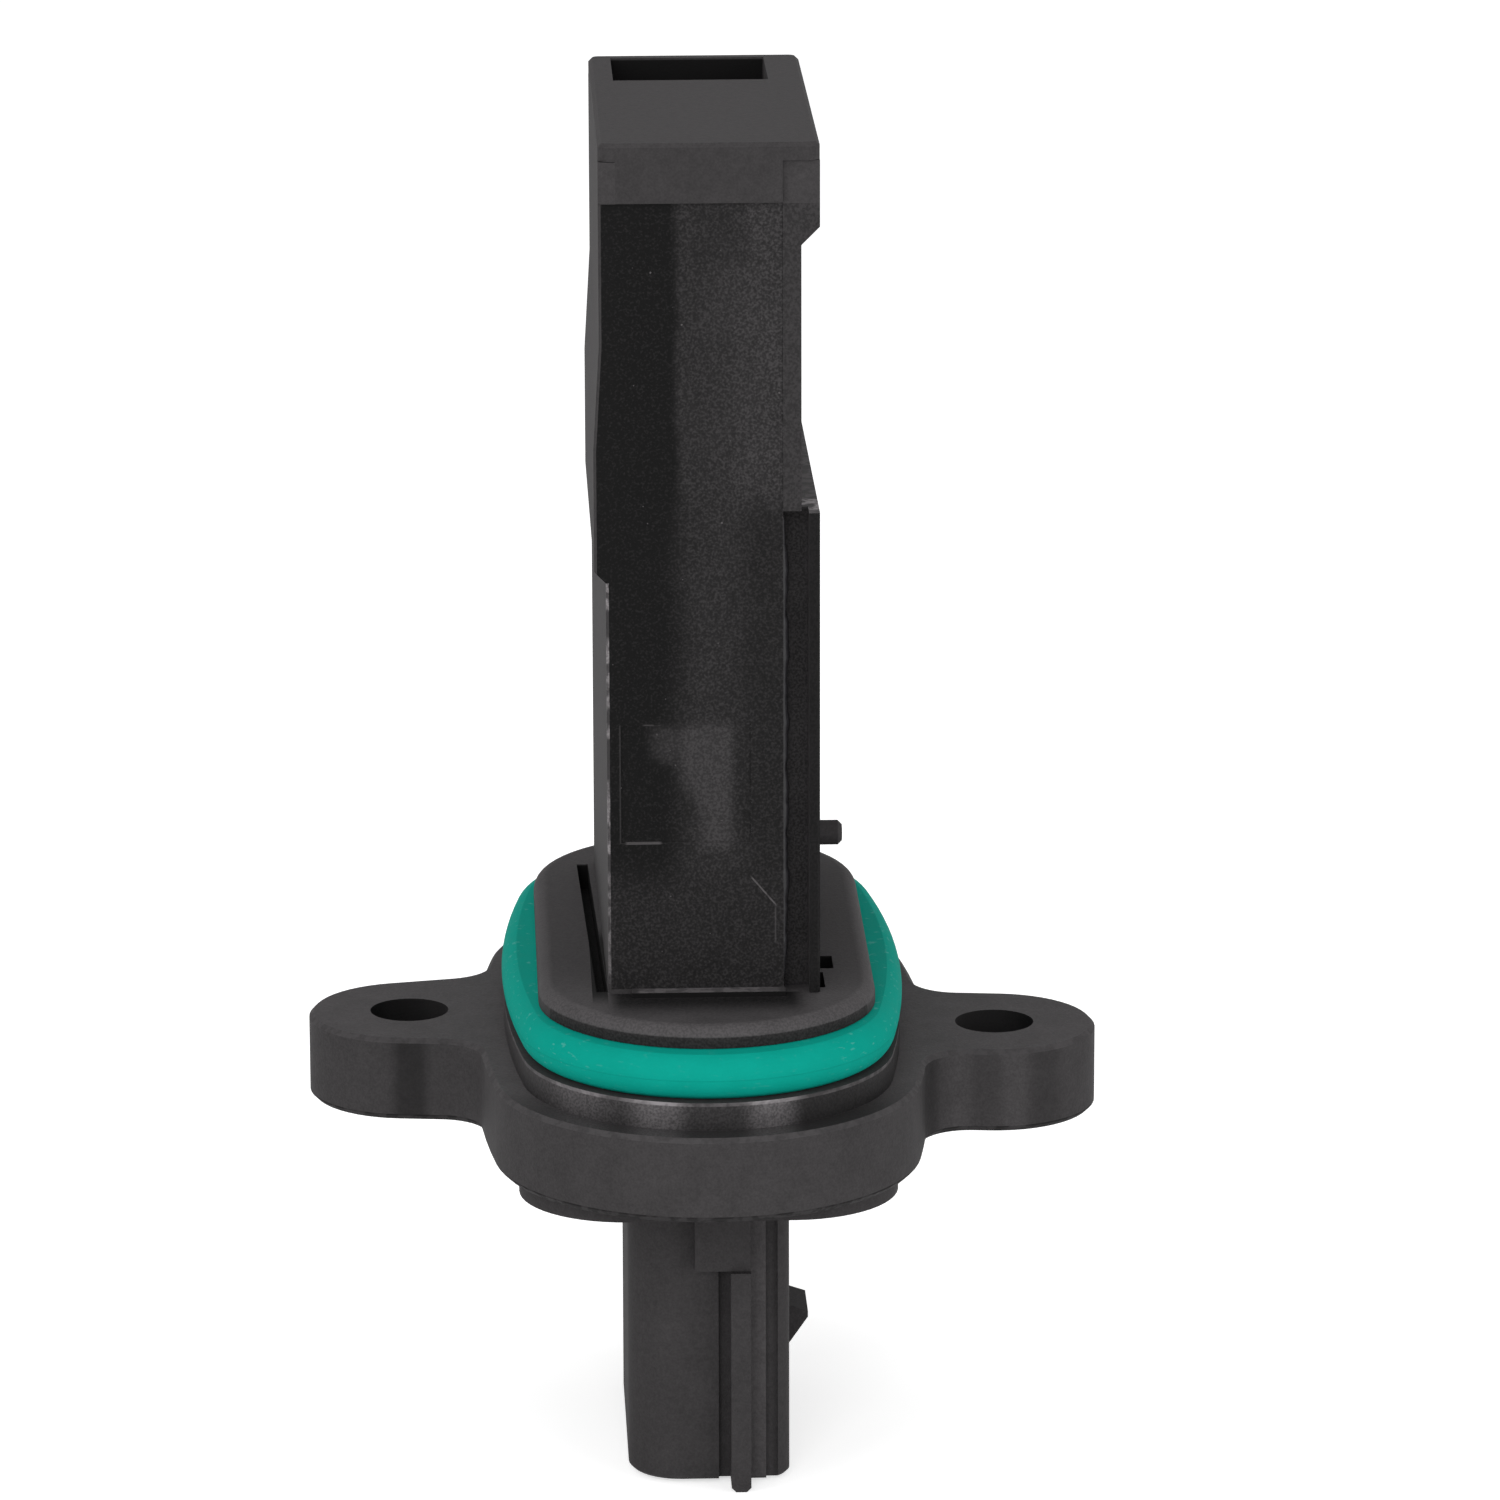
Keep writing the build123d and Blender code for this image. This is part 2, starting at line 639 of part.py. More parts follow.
# Bond ribbons, each bent over the foot of the tongue down to the board
with BuildPart() as bond_wires:
    ribbon_ys = [tongue_y + (i - (ribbon_count - 1) / 2) * ribbon_pitch for i in range(ribbon_count)]
    for y in ribbon_ys:
        with BuildSketch(Plane.XZ.offset(-(y + ribbon_width / 2))):
            with BuildLine() as ribbon_line:
                Polyline(
                    (tongue_face, tongue_bottom + 2 * ribbon_reach),
                    (tongue_face, tongue_bottom + ribbon_reach),
                    (tongue_face + ribbon_rise, tongue_bottom),
                    (board_face, tongue_bottom - ribbon_reach),
                    (board_face, tongue_bottom - 2 * ribbon_reach),
                    (board_face + ribbon_thickness, tongue_bottom - 2 * ribbon_reach),
                    (board_face + ribbon_thickness, tongue_bottom - ribbon_reach),
                    (tongue_face + ribbon_rise + ribbon_thickness, tongue_bottom),
                    (tongue_face + ribbon_thickness, tongue_bottom + ribbon_reach),
                    (tongue_face + ribbon_thickness, tongue_bottom + 2 * ribbon_reach),
                    close=True)
            make_face()
        extrude(amount=ribbon_width)
bond_wires.part.label = "bond_wires"

# Thermistor bead and its two bent legs
with BuildPart() as thermistor_bead:
    with BuildSketch(Plane.XZ.offset(-(window_centre_y + bead_length / 2))):
        with Locations((leg_x + leg_width / 2, window_centre_z)):
            Circle(bead_diameter / 2)
    extrude(amount=bead_length)
    chamfer(thermistor_bead.edges().filter_by(GeomType.CIRCLE), length=bead_end_break)
thermistor_bead.part.label = "thermistor_bead"

legs = []
for number, (place, side) in enumerate(zip(leg_ys, (1, -1)), start=1):
    with BuildPart() as leg:
        with BuildLine() as leg_path:
            FilletPolyline(
                (leg_x + leg_width / 2, place, leg_bottom),
                (leg_x + leg_width / 2, place, window_centre_z),
                (leg_x + leg_width / 2, window_centre_y - side * bead_length / 2, window_centre_z),
                radius=leg_bend)
        with BuildSketch(Plane.XY.offset(leg_bottom)):
            with Locations((leg_x + leg_width / 2, place)):
                Rectangle(leg_width, leg_width)
        sweep(path=leg_path.wires()[0])
    leg.part.label = f"thermistor_lead_{number}"
    legs.append(leg.part)

pieces = [
    housing.part, left_bypass_cover.part, right_bypass_cover.part, circuit_cover.part,
    cover_adhesive.part, seal_ring.part, terminal_carrier.part, base_plate.part,
    circuit_board.part, sensing_tongue.part, flow_chip.part, control_chip.part,
    capacitors.part, resistors.part, bond_wires.part, thermistor_bead.part,
    *terminals, *legs,
]
os.makedirs("parts", exist_ok=True)
for piece in pieces:
    export_step(piece, f"parts/{piece.label}.step")
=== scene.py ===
import math

import bmesh
import bpy
from mathutils import Matrix, Vector


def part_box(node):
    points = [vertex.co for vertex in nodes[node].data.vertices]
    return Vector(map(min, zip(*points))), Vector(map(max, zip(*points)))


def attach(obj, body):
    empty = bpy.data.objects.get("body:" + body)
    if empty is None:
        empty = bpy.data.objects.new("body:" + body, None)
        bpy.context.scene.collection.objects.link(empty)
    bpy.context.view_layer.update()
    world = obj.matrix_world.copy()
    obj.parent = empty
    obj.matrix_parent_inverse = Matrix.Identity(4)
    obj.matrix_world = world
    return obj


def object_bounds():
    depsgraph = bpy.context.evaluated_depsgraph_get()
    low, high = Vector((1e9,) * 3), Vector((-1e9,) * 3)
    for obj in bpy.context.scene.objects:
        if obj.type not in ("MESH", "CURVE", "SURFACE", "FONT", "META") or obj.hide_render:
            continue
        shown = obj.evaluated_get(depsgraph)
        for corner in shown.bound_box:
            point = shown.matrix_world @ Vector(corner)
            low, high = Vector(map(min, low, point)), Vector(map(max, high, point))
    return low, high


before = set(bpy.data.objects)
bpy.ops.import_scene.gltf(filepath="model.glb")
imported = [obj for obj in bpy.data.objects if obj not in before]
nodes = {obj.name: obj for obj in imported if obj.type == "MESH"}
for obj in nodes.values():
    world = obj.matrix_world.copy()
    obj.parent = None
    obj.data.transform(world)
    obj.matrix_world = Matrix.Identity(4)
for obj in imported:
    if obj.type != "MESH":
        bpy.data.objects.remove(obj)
cad_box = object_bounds()

# Camera of the photograph: a long lens, a little left of the middle of the sensor, looking
# fifteen degrees down at it. The sensor stands upright on its plug end.
camera_place = (-0.0182, -0.5863, 0.1779)
camera_turn, camera_tilt, camera_roll = (math.radians(angle) for angle in (-2.15, 75.03, -0.13))
camera_data = bpy.data.cameras.new("camera")
camera_data.sensor_width = 36
camera_data.lens = 191.65
camera_data.clip_start = 0.05
camera_data.clip_end = 20
camera = bpy.data.objects.new("camera", camera_data)
camera.matrix_world = (
    Matrix.Translation(camera_place)
    @ Matrix.Rotation(camera_turn, 4, "Z")
    @ Matrix.Rotation(camera_tilt, 4, "X")
    @ Matrix.Rotation(camera_roll, 4, "Z")
)
bpy.context.scene.collection.objects.link(camera)
bpy.context.scene.camera = camera
bpy.context.scene.view_settings.view_transform = "Standard"


# Studio floor under the plug end: plain white paper that keeps the sensor's shadow. It glows
# towards the camera and towards mirrors, so that it reads as a white page.
class Wire:
    """An output of a node tree. A sum written with it adds the Math nodes for it."""

    def __init__(self, finish, socket):
        self.finish = finish
        self.socket = socket

    def sum(self, operation, first, second=0):
        return self.finish.node("Math", {"operation": operation}, {0: first, 1: second})

    def __add__(self, other):
        return self.sum("ADD", self, other)

    def __radd__(self, other):
        return self.sum("ADD", other, self)

    def __sub__(self, other):
        return self.sum("SUBTRACT", self, other)

    def __rsub__(self, other):
        return self.sum("SUBTRACT", other, self)

    def __mul__(self, other):
        return self.sum("MULTIPLY", self, other)

    def __rmul__(self, other):
        return self.sum("MULTIPLY", other, self)

    def __gt__(self, other):
        return self.sum("GREATER_THAN", self, other)

    def __lt__(self, other):
        return self.sum("LESS_THAN", self, other)

    def __or__(self, other):
        return self.sum("MAXIMUM", self, other)

    def __ror__(self, other):
        return self.sum("MAXIMUM", other, self)

    def __abs__(self):
        return self.sum("ABSOLUTE", self)


class Finish:
    """The node tree of a material or of the world. Every node added to it comes from node()."""

    def __init__(self, owner):
        owner.use_nodes = True
        self.tree = owner.node_tree

    def node(self, kind, settings=None, inputs=None, output=0):
        made = self.tree.nodes.new("ShaderNode" + kind)
        for name, value in (settings or {}).items():
            setattr(made, name, value)
        for name, value in (inputs or {}).items():
            self.feed(made.inputs[name], value)
        return Wire(self, made.outputs[output])

    def feed(self, socket, value):
        if isinstance(value, Wire):
            self.tree.links.new(value.socket, socket)
        else:
            socket.default_value = value

    def mix(self, share, first, second):
        return self.node("Mix", {"data_type": "RGBA"}, {0: share, 6: first, 7: second}, output=2)

    def seen_directly(self):
        """1 for camera, mirror and glass rays, 0 for the rays that carry light to the sensor."""
        rays = [self.node("LightPath", output=name)
                for name in ("Is Camera Ray", "Is Glossy Ray", "Is Transmission Ray")]
        return rays[0] | rays[1] | rays[2]


floor_reach = 3.0
floor_height = cad_box[0].z
floor_corners = ((-1, -1), (1, -1), (1, 1), (-1, 1))
floor_mesh = bpy.data.meshes.new("floor")
floor_mesh.from_pydata(
    [(x * floor_reach, y * floor_reach, floor_height) for x, y in floor_corners], [], [(0, 1, 2, 3)])
floor = bpy.data.objects.new("floor", floor_mesh)
bpy.context.scene.collection.objects.link(floor)
paper_white = 0.82
paper_glow = 0.6
paper_material = bpy.data.materials.new("paper")
paper = Finish(paper_material)
paper_light = paper.node("BsdfDiffuse", {}, {"Color": (paper_white, paper_white, paper_white, 1)})
paper_shine = paper.node(
    "Emission", {}, {"Color": (1, 1, 1, 1), "Strength": paper_glow * paper.seen_directly()})
paper_both = paper.node("AddShader", {}, {0: paper_light, 1: paper_shine})
paper.feed(paper.tree.nodes["Material Output"].inputs["Surface"], paper_both)
floor_mesh.materials.append(paper_material)

# Studio air: an even pale surround, a broad lamp in front, a weak one above and one on each
# side, so that the upright faces are lit a little more than the level ones.
surround = bpy.data.worlds.new("surround")
bpy.context.scene.world = surround
surround_light = 0.45
air = Finish(surround)
air_strength = surround_light + (1 - surround_light) * air.seen_directly()
air.feed(air.tree.nodes["Background"].inputs["Color"], (1, 1, 1, 1))
air.feed(air.tree.nodes["Background"].inputs["Strength"], air_strength)
lamp_aim = Vector((0, 0, 0.02))
lamps = (
    ("lamp_front", (-0.15, -0.90, 0.40), 0.50, 3.6),
    ("lamp_above", (-0.10, -0.15, 0.75), 0.60, 1.5),
    ("lamp_left", (-0.62, -0.45, 0.28), 0.45, 1.5),
    ("lamp_right", (0.62, -0.45, 0.15), 0.45, 2.2),
)
for name, place, width, power in lamps:
    lamp_data = bpy.data.lights.new(name, "AREA")
    lamp_data.shape = "SQUARE"
    lamp_data.size = width
    lamp_data.energy = power
    lamp = bpy.data.objects.new(name, lamp_data)
    lamp.location = place
    lamp.rotation_euler = (lamp_aim - Vector(place)).to_track_quat("-Z", "Y").to_euler()
    bpy.context.scene.collection.objects.link(lamp)


# Housing: flange, collar, probe frame and plug shroud in one moulding of glass-filled black
# plastic. The tool leaves a dull spark-eroded grain on it, and its leaning edges get a paler
# painted highlight. The next sections add the marks and the painted light and shade of each part of it.
class Surface(Finish):
    """A finish of the sensor itself, with its place on the sensor in millimetres."""

    def __init__(self, name):
        self.material = bpy.data.materials.new(name)
        super().__init__(self.material)
        self.shader = self.tree.nodes["Principled BSDF"]
        object_place = self.node("TexCoord", output="Object")
        self.place = self.node("VectorMath", {"operation": "SCALE"}, {0: object_place, "Scale": 1000})
        self.x, self.y, self.z = self.parts(self.place)
        facing = self.node("NewGeometry", output="Normal")
        self.facing_x, self.facing_y, self.facing_z = self.parts(facing)

    def parts(self, vector):
        outputs = self.node("SeparateXYZ", {}, {0: vector}).socket.node.outputs
        return [Wire(self, output) for output in outputs]

    def rise(self, value, low, high):
        """0 before low, 1 past high, and a soft step between. Low may be the larger one."""
        return self.node("MapRange", {"interpolation_type": "SMOOTHSTEP"},
                         {"Value": value, "From Min": low, "From Max": high})

    def within(self, value, low, high, soft=0.05):
        """1 from low to high, fading to 0 over soft on both sides."""
        return self.rise(value, low - soft, low) * (1 - self.rise(value, high, high + soft))

    def line(self, distance, half_width):
        return 1 - self.rise(abs(distance), half_width * 0.5, half_width * 1.5)

    def bands(self, value, *rows):
        """Soft bands: each row is a middle, a full half width, a last half width and a strength."""
        strongest = 0
        for middle, core, reach, strength in rows:
            strongest = strongest | strength * (1 - self.rise(abs(value - middle), core, reach))
        return strongest

    def from_axis(self, x, y):
        """The distance in millimetres from the upright line through x and y."""
        away_x = self.x - x
        away_y = self.y - y
        return self.node("Math", {"operation": "SQRT"}, {0: away_x * away_x + away_y * away_y})

    def cloud(self, scale, detail, stretch=(1, 1, 1)):
        """Noise whose grains are about 1 / scale millimetres across."""
        stretched = self.node("VectorMath", {"operation": "MULTIPLY"}, {0: self.place, 1: stretch})
        return self.node("TexNoise", {}, {"Vector": stretched, "Scale": scale, "Detail": detail})

    def change(self, share, first, second):
        """The number first where share is 0, and second where it is 1."""
        return first + share * (second - first)

    def dress(self, colour, roughness, height=0.0, depth=0.0, metal=0.0):
        """Joins the finish to the shader: height is 0 to 1 and depth its size in millimetres."""
        self.feed(self.shader.inputs["Base Color"], colour)
        self.feed(self.shader.inputs["Roughness"], roughness)
        self.feed(self.shader.inputs["Metallic"], metal)
        bump = self.node("Bump", {}, {"Height": height, "Distance": depth / 1000, "Strength": 1.0})
        self.feed(self.shader.inputs["Normal"], bump)

    def put_on(self, *names):
        for name in names:
            for slot in nodes[name].material_slots:
                slot.material = self.material


def box_in_mm(name):
    """The lowest and the highest corner of a node, in millimetres."""
    return [1000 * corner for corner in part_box(name)]


class BlackMoulding(Surface):
    """Black moulded plastic, with its tone, roughness and height still open to local marks."""

    def __init__(self, name, tone=0.037, roughness=0.78):
        super().__init__(name)
        self.feed(self.shader.inputs["Specular IOR Level"], 0.12)
        self.mottle = self.cloud(0.35, 3)
        self.grain = self.cloud(5.5, 3)
        self.speckle = self.cloud(2.2, 4)
        self.sparkle = self.rise(self.grain, 0.36, 0.64)
        self.specks = self.rise(self.grain, 0.50, 0.70)
        self.patchiness = self.rise(self.cloud(1.1, 3), 0.42, 0.58)
        self.leaning = self.within(abs(self.facing_z), 0.55, 0.85, 0.10)
        self.tone = tone * (0.47 + 0.45 * self.mottle + 0.45 * self.speckle + 0.16 * self.sparkle)
        self.roughness = roughness + 0.14 * (self.mottle - 0.5) + 0.10 * (self.grain - 0.5)
        self.height = self.grain * 0.8 + self.speckle * 0.2

    def lay_tone(self, share, tone, roughness):
        """A local mark, of wear and of painted light and shade: takes this tone and roughness where share is
        1.
        """
        self.tone = self.change(share, self.tone, tone)
        self.roughness = self.change(share, self.roughness, roughness)

    def finish_moulding(self, depth=0.03):
        """Turns the tone into a faintly warm black and joins it to the shader."""
        shade = self.mix(self.tone, (0, 0, 0, 1), (1.0, 0.935, 0.965, 1))
        self.dress(shade, self.roughness, self.height, depth)


housing = BlackMoulding("housing_plastic")
faces_front = housing.facing_y < -0.8
faces_up = housing.facing_z > 0.8
upright = abs(housing.facing_z) < 0.3
lip_top = 7.2
sill_top = 7.6
tip_top = box_in_mm("housing")[1].z
tip_face = -18.4
band_foot = tip_top - 4.4

# Housing, front of the probe: the face between the sill and the band of the tip. It is smoother
# than the rest, and its tone is painted reflection and shade: dark down its left side and near its
# foot, and paler to the upper right, with one darker patch under the band.
drift = 4 * (housing.cloud(0.22, 3) - 0.5)
probe_front = (
    faces_front * housing.within(housing.y, tip_face + 0.1, -15.0)
    * housing.within(housing.z, sill_top, band_foot - 0.1)
)
probe_right = 5.55
upper = housing.rise(housing.z + drift, 41.5, 46.5)
dark_side = housing.change(upper, -3.6, -2.6)
dark_fade = housing.change(upper, 3.4, 0.9)
lit = housing.rise(housing.x + 0.35 * drift - dark_side, 0.0, dark_fade)
upper_right = upper * (0.0010 + 0.0085 * housing.rise(housing.x + 0.5 * drift, -1.5, 4.5))
lower_right = (1 - upper) * housing.rise(housing.x + 0.5 * drift, 1.0, 4.2)
near_foot = 1 - housing.rise(housing.z + 0.5 * drift, 14.0, 18.5)
under_band = housing.within(housing.z, 62.8, 67.2, 0.8) * housing.within(housing.x, -0.4, 2.6, 0.8)
# Painted reflection to the upper right, painted shade down the left, near the foot and under the band.
front_painted_tone = housing.change(lit, 0.0008, 0.0140 + upper_right)
front_painted_tone = housing.change(lower_right, front_painted_tone, 0.0075)
front_painted_tone = housing.change(near_foot, front_painted_tone, 0.0105)
front_painted_tone = housing.change(0.6 * under_band, front_painted_tone, 0.010)
front_painted_tone = housing.change(housing.x > probe_right, front_painted_tone, 0.016)
front_grain = 0.20 + 0.40 * housing.mottle + 0.40 * housing.speckle + 0.80 * housing.sparkle
housing.lay_tone(probe_front, front_painted_tone * front_grain + 0.0075 * housing.specks, 0.72)

# Housing, marks on that front: a smoother patch over the shallow recess has a pale painted
# reflection, and the outline of the recess a painted highlight, with two scratches near the foot
# and a scatter of pale flecks.
recess_left, recess_bottom, recess_top = -6.45, 18.8, 27.8
sheen_left = housing.change(housing.rise(housing.z + 0.5 * drift, 19.5, 25.5), -0.8, -2.4)
sheen_column = (
    housing.rise(housing.x + 0.4 * drift - sheen_left, -0.6, 1.2)
    * (1 - housing.rise(housing.x, 1.3, 2.3))
    * housing.within(housing.z + 0.3 * drift, 18.9, 27.2, 1.2)
)
sheen_corner = (
    housing.within(housing.x + 0.4 * drift, -3.2, 0.0, 1.8)
    * housing.within(housing.z + 0.3 * drift, 25.8, 26.9, 1.6)
)
sheen_patch = sheen_column | 0.65 * sheen_corner
housing.lay_tone(0.9 * probe_front * sheen_patch, 0.031 * (0.7 + 0.6 * housing.sparkle), 0.66)
top_of_recess = housing.line(housing.z - recess_top, 0.07) * housing.within(housing.x, -4.8, -2.8, 0.3)
foot_of_recess = (
    housing.line(housing.z - recess_bottom, 0.08) * housing.within(housing.x, -5.9, -3.6, 0.3)
)
side_of_recess = (
    housing.line(housing.x - recess_left, 0.06) * housing.within(housing.z, recess_bottom, recess_top)
)
recess_highlight = 0.45 * top_of_recess * housing.patchiness | foot_of_recess | 0.25 * side_of_recess
slant_scratch = (
    housing.line(1.9 * (housing.x - 3.4) + 1.6 * (housing.z - 15.9), 0.14)
    * housing.within(housing.x, 3.3, 5.0, 0.2)
)
long_scratch = housing.line(housing.x - 5.0, 0.06) * housing.within(housing.z, 11.3, 13.6, 0.4)
scratches = slant_scratch * (0.4 + 0.6 * housing.patchiness) | 0.4 * long_scratch
flecks = housing.rise(housing.cloud(3.1, 0), 0.84, 0.90)
# Painted highlight along the recess outline, laid with the real scratches and flecks.
housing.lay_tone(0.8 * probe_front * (recess_highlight | scratches | flecks), 0.085, 0.60)

# Housing, collar: the leaning edges below the tip and the round shoulder of the lip get a pale
# painted highlight, the shoulder most of all in front. The upright ends of the lip, its top before
# the probe and the front of the sill get painted shade, and the top of the sill a painted highlight.
edge_highlights = housing.leaning * (1 - housing.within(housing.z, 5.0, lip_top + 0.2)) * (housing.z < 60)
housing.lay_tone(edge_highlights * (0.15 + 0.35 * housing.patchiness), 0.062, 0.68)
shoulder = (
    housing.within(housing.facing_z, 0.25, 0.95, 0.10)
    * housing.within(housing.z, lip_top - 1.3, lip_top + 0.2)
)
shoulder_highlight_share = housing.change(housing.rise(housing.y, -10.0, -20.0), 0.35, 0.9)
shoulder_highlight_tone = 0.066 * (0.6 + 0.3 * housing.mottle + 0.3 * housing.sparkle)
housing.lay_tone(shoulder_highlight_share * shoulder, shoulder_highlight_tone, 0.68)
# Painted shade on the upright ends of the lip, under its round shoulder.
lip_ends = (
    upright * housing.within(housing.z, lip_top - 1.7, lip_top - 0.9, 0.15) * (abs(housing.y) > 18.6)
)
housing.lay_tone(0.85 * lip_ends, 0.012 * (0.5 + housing.sparkle), 0.75)
# Painted shadow on the top of the collar in front of the probe.
before_probe = (
    faces_up * housing.within(housing.z, lip_top - 0.3, lip_top + 0.1)
    * housing.within(housing.x, -6.4, 6.0, 1.6)
    * housing.rise(housing.y, -24.5, -20.0) * (housing.y < -18.0)
)
housing.lay_tone(before_probe, 0.0060 * (0.4 + 1.2 * housing.sparkle), 0.80)
sill = (
    housing.within(housing.z, lip_top + 0.02, sill_top + 0.1, 0.01)
    * housing.within(housing.y, -19.4, -18.1, 0.02)
)
# Painted shade on the front of the sill.
housing.lay_tone(sill * faces_front, 0.003, 0.85)
sill_highlight = sill * faces_up * housing.within(housing.x, -5.0, 5.0, 0.4)
housing.lay_tone(sill_highlight * (0.35 + 0.65 * housing.patchiness), 0.10, 0.60)

# Housing, pedestal: its upright side has three bands of pale painted reflection in front, dull
# between them and brighter towards the top, with a painted highlight along the top edge. The flange
# around its foot is paler, and takes on the same painted reflection tones in front.
pedestal_top = box_in_mm("seal_ring")[0].z
reflection_bands = housing.bands(housing.x, (-4.2, 0.5, 2.9, 1), (4.3, 0.4, 2.6, 1), (-9.8, 0.5, 2.6, 0.6))
dull = housing.change(housing.rise(housing.x, 4.5, 7.0), 0.024, 0.012)
dull = housing.change(housing.within(housing.x, -12.0, -7.5, 1.5), dull, 0.034)
reflection_grain = 0.5 + 0.55 * housing.sparkle + 0.45 * housing.speckle
reflection_tone = housing.change(reflection_bands, dull, 0.080) * reflection_grain
pedestal_side = (
    upright * housing.within(housing.z, 0.02, pedestal_top, 0.02) * housing.rise(housing.y, 4.0, -12.0)
)
housing.lay_tone(pedestal_side, reflection_tone * (0.78 + 0.17 * housing.z), 0.6)
top_edge_highlight = pedestal_side * housing.within(housing.z, pedestal_top - 0.29, pedestal_top, 0.06)
housing.lay_tone(top_edge_highlight * (0.25 + 0.75 * reflection_bands) * (0.5 + 0.5 * housing.patchiness), 0.24, 0.6)
flange_top = faces_up * housing.within(housing.z, -0.3, 0.1)
housing.lay_tone(flange_top, housing.tone * 1.65, 0.80)
flange_front = flange_top * housing.rise(housing.y, -17.0, -26.0)
housing.lay_tone(0.9 * flange_front, 0.55 * reflection_tone, 0.7)

# Housing, flange and ends: the side of the ears has dark and pale bands, and a painted shadow
# along its lower edge. The shroud has painted light beside its key rib, where the rib's shade
# falls, and the front of the tip is a little darker.
flange_side = upright * housing.within(housing.z, -6.4, -0.2, 0.1) * (housing.facing_y < 0)
dark_bands = housing.bands(
    housing.x, (-22.3, 0.6, 1.9, 0.50), (16.7, 0.3, 1.5, 0.45), (25.9, 0.5, 1.8, 0.25))
pale_bands = housing.bands(housing.x, (19.4, 0.3, 1.3, 1), (23.4, 0.4, 1.5, 1))
housing.lay_tone(flange_side, housing.tone * (1 - dark_bands + 0.22 * pale_bands), 0.76)
under_edge = (abs(housing.facing_z) < 0.8) * housing.within(housing.z, -6.6, -6.02, 0.06)
# Painted shadow, broken up, along the lower edge of the flange.
housing.lay_tone(0.8 * under_edge * (0.4 + 0.6 * housing.patchiness), 0.005, 0.85)
beside_rib = faces_front * housing.within(housing.x, 3.3, 4.4) * (housing.z < -10.0)
# Painted light beside the key rib, where its shade falls.
housing.lay_tone(beside_rib, 1.55 * housing.tone, 0.78)
tip_front = faces_front * (housing.z > band_foot)
housing.lay_tone(tip_front, 0.86 * housing.tone, 0.78)

# Housing, left edge of the probe: broken white painted highlights glint along the sharp front
# corner, in five stretches of it.
left_corner = (
    (housing.facing_x < -0.6) * (housing.y < housing.change(housing.speckle, -17.9, -17.0))
    | (housing.facing_y < -0.6) * (housing.x < -7.25)
) * housing.within(housing.z, 8.0, 66.0)
glint_stretches = 0
for low, high, soft, strength in (
    (36.8, 40.2, 0.5, 1), (29.5, 34.0, 0.8, 1), (27.0, 27.8, 0.3, 1), (18.2, 23.2, 0.6, 1),
    (8.0, 16.0, 1.0, 0.5),
):
    glint_stretches = glint_stretches | strength * housing.within(housing.z, low, high, soft)
corner_glints = left_corner * glint_stretches * (0.15 + 0.85 * housing.patchiness) * (0.5 + 0.5 * housing.sparkle)
housing.lay_tone(corner_glints, 0.22, 0.60)

# Housing, openings: the slots and notches of the collar, the strip beside the slot, the inside of
# the frame and the bolt holes are darker with painted shade. Four ejector pins have left rings
# under the flange.
inside_slot = (
    housing.within(housing.x, -9.4, -7.3) * (abs(housing.y) < 17.8)
    * housing.within(housing.z, 4.0, lip_top - 0.08, 0.02)
)
beside_slot = (
    housing.within(housing.x, -8.6, -7.5) * housing.within(housing.y, -17.6, -4.0, 4.0)
    * faces_up * housing.within(housing.z, lip_top - 0.2, lip_top + 0.1)
)
inside_notches = (
    housing.within(housing.x, 8.25, 9.7) * housing.within(housing.y, -18.0, -8.6)
    * housing.within(housing.z, 5.1, lip_top - 0.02, 0.01)
)
inside_frame = (
    housing.within(housing.x, -6.5, 5.5) * (abs(housing.y) < 17.2)
    * housing.within(housing.z, 9.0, tip_top - 0.2, 0.1)
)
bolt_angle = math.radians(-6.4)
bolt_distance = 22.5
bolt_hole_reach = 3.11
inside_holes = 0
for side in (-1, 1):
    hole_x = side * bolt_distance * math.cos(bolt_angle)
    hole_y = side * bolt_distance * math.sin(bolt_angle)
    inside_holes = inside_holes | (housing.from_axis(hole_x, hole_y) < bolt_hole_reach)
inside_holes = inside_holes * (housing.z < -0.02)
recess_shade = inside_slot | beside_slot | inside_notches | inside_frame | 0.85 * inside_holes
housing.lay_tone(recess_shade, 0.003, 0.85)
pin_radius = 1.5
pin_rings = 0
for pin_x in (-12.5, 12.5):
    for pin_y in (-16.0, 16.0):
        pin_rings = pin_rings | housing.line(housing.from_axis(pin_x, pin_y) - pin_radius, 0.12)
housing.height = housing.height + 1.5 * pin_rings * (housing.facing_z < -0.9)
housing.finish_moulding()
housing.put_on("housing")

# Bypass covers: two plates of the same black plastic, welded over the wide sides of the air
# passage. The left one bows out a little, and the right one has the thick step at the tip.
# Their front ends are level with the front of the probe and take its painted shade on the left
# and a paler painted tone on the right, and their leaning edges get a painted highlight.
covers = BlackMoulding("bypass_cover_plastic")
left_one = covers.x < 0
covers_front = (covers.facing_y < -0.8) * (covers.z < band_foot - 0.1)
covers.lay_tone(covers_front * left_one, 0.0008 + 0.0075 * covers.specks, 0.72)
covers.lay_tone(0.7 * covers_front * (1 - left_one), 0.022 * (0.6 + 0.8 * covers.sparkle), 0.74)
# Painted highlight on the leaning edges.
covers.lay_tone(covers.leaning * (covers.z < 60) * (0.2 + 0.5 * covers.patchiness), 0.060, 0.68)
covers.finish_moulding()
covers.put_on("left_bypass_cover", "right_bypass_cover")

